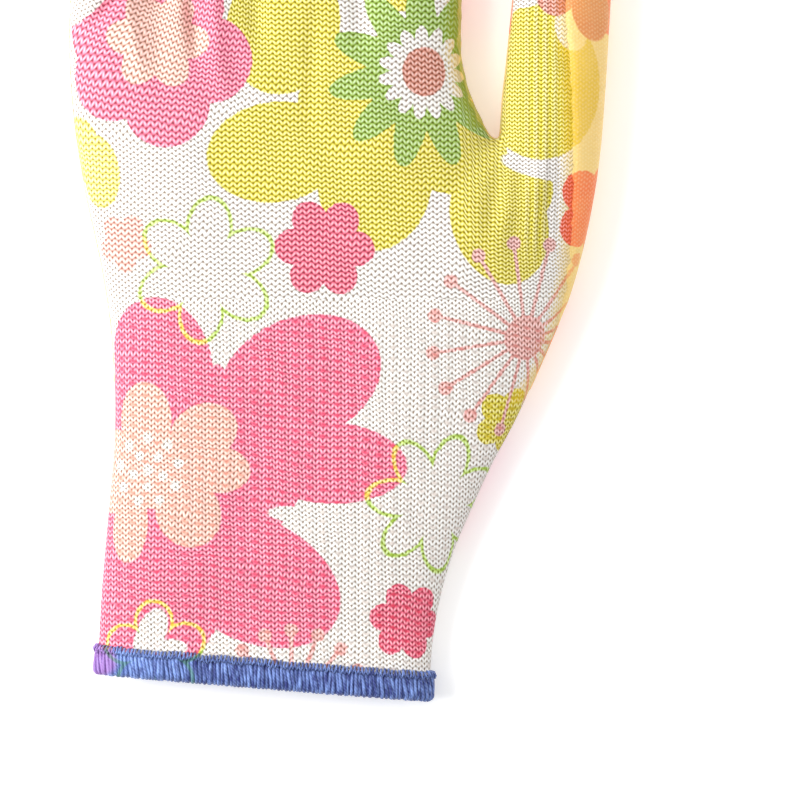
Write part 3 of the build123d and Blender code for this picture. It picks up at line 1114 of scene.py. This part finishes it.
def make_glove(side):
    """One glove: its cloth, the film over it and the thread round its hem."""
    inside, film_inside = SURFACE - NORMALS * CLOTH, SURFACE - NORMALS * FILM_UNDER
    for part in sorted(set(PIECE)):
        chosen = FACE_PIECE == part
        slot, material = ("rib", RIBBED) if part == "cuff" else ("knit", KNITTED)
        cloth = shell(f"{side}_{part}_cloth", side, chosen, SURFACE, inside, NORMALS, material)
        attach(cloth, side, part, f"{side}_{part}")
        if part == "cuff":
            continue
        # the palm's film runs on over the top of the cuff
        covered = (chosen | (FACE_PIECE == "cuff") if part == "palm" else chosen) & IN_FILM
        film = shell(f"{side}_{part}_film_skin", side, covered, FILM_SURFACE, film_inside, FILM_NORMALS, FILM)
        attach(film, side, part, f"{side}_{part}_film")
    attach(hem_edge(side), side, "cuff", f"{side}_cuff_edge")


for side in ("left", "right"):
    make_glove(side)

# ---- floor, light and camera ----
FIELD = 0.164  # width of floor in view
VIEW_X, VIEW_Y = 12.7, -51.9  # middle of the view in the left glove's drawing
LENS = 180.0
FLOOR_HALF = 3.0
FLOOR_WHITE, FLOOR_GLOW = 0.94, 0.26
SURROUND_LIGHT = 0.40
AIM_HEIGHT = 8.0

floor_mesh = bpy.data.meshes.new("floor")
corners = [(FLOOR_HALF * x, FLOOR_HALF * y, 0) for x, y in ((-1, -1), (1, -1), (1, 1), (-1, 1))]
floor_mesh.from_pydata(corners, [], [(0, 1, 2, 3)])
floor = bpy.data.objects.new("floor", floor_mesh)
bpy.context.collection.objects.link(floor)
pale_floor, _, pale_shader = new_material("pale_floor", 0.9, Emission_Strength=FLOOR_GLOW)
pale_shader.inputs["Base Color"].default_value = (FLOOR_WHITE, FLOOR_WHITE, FLOOR_WHITE, 1)
pale_shader.inputs["Emission Color"].default_value = (1, 1, 1, 1)
floor_mesh.materials.append(pale_floor)

target = np.array([VIEW_X + SHIFT["left"], VIEW_Y, AIM_HEIGHT]) * MM


def area_light(name, offset, size, power):
    """A square light that faces the middle of the view."""
    data = bpy.data.lights.new(name, "AREA")
    data.energy, data.size = power, size
    light = bpy.data.objects.new(name, data)
    light.location = target + np.array(offset)
    aim = bpy.data.objects.new(name + "_aim", None)
    aim.location = target
    bpy.context.collection.objects.link(aim)
    bpy.context.collection.objects.link(light)
    track = light.constraints.new("TRACK_TO")
    track.target, track.track_axis, track.up_axis = aim, "TRACK_NEGATIVE_Z", "UP_Y"


area_light("low_left", (-0.42, 0.10, 0.30), 0.5, 4.6)
area_light("low_right", (0.60, 0.05, 0.30), 0.5, 1.4)
area_light("overhead", (-0.1, 0.3, 1.2), 1.0, 3.6)

world = bpy.data.worlds.new("studio")
world.use_nodes = True
surround = world.node_tree.nodes["Background"].inputs
surround[0].default_value = (1, 1, 1, 1)
surround[1].default_value = SURROUND_LIGHT
bpy.context.scene.world = world
bpy.context.scene.view_settings.view_transform = "Standard"

camera_data = bpy.data.cameras.new("camera")
camera_data.lens = LENS
camera = bpy.data.objects.new("camera", camera_data)
camera.location = (target[0], target[1], target[2] + FIELD * LENS / camera_data.sensor_width)
bpy.context.collection.objects.link(camera)
bpy.context.scene.camera = camera
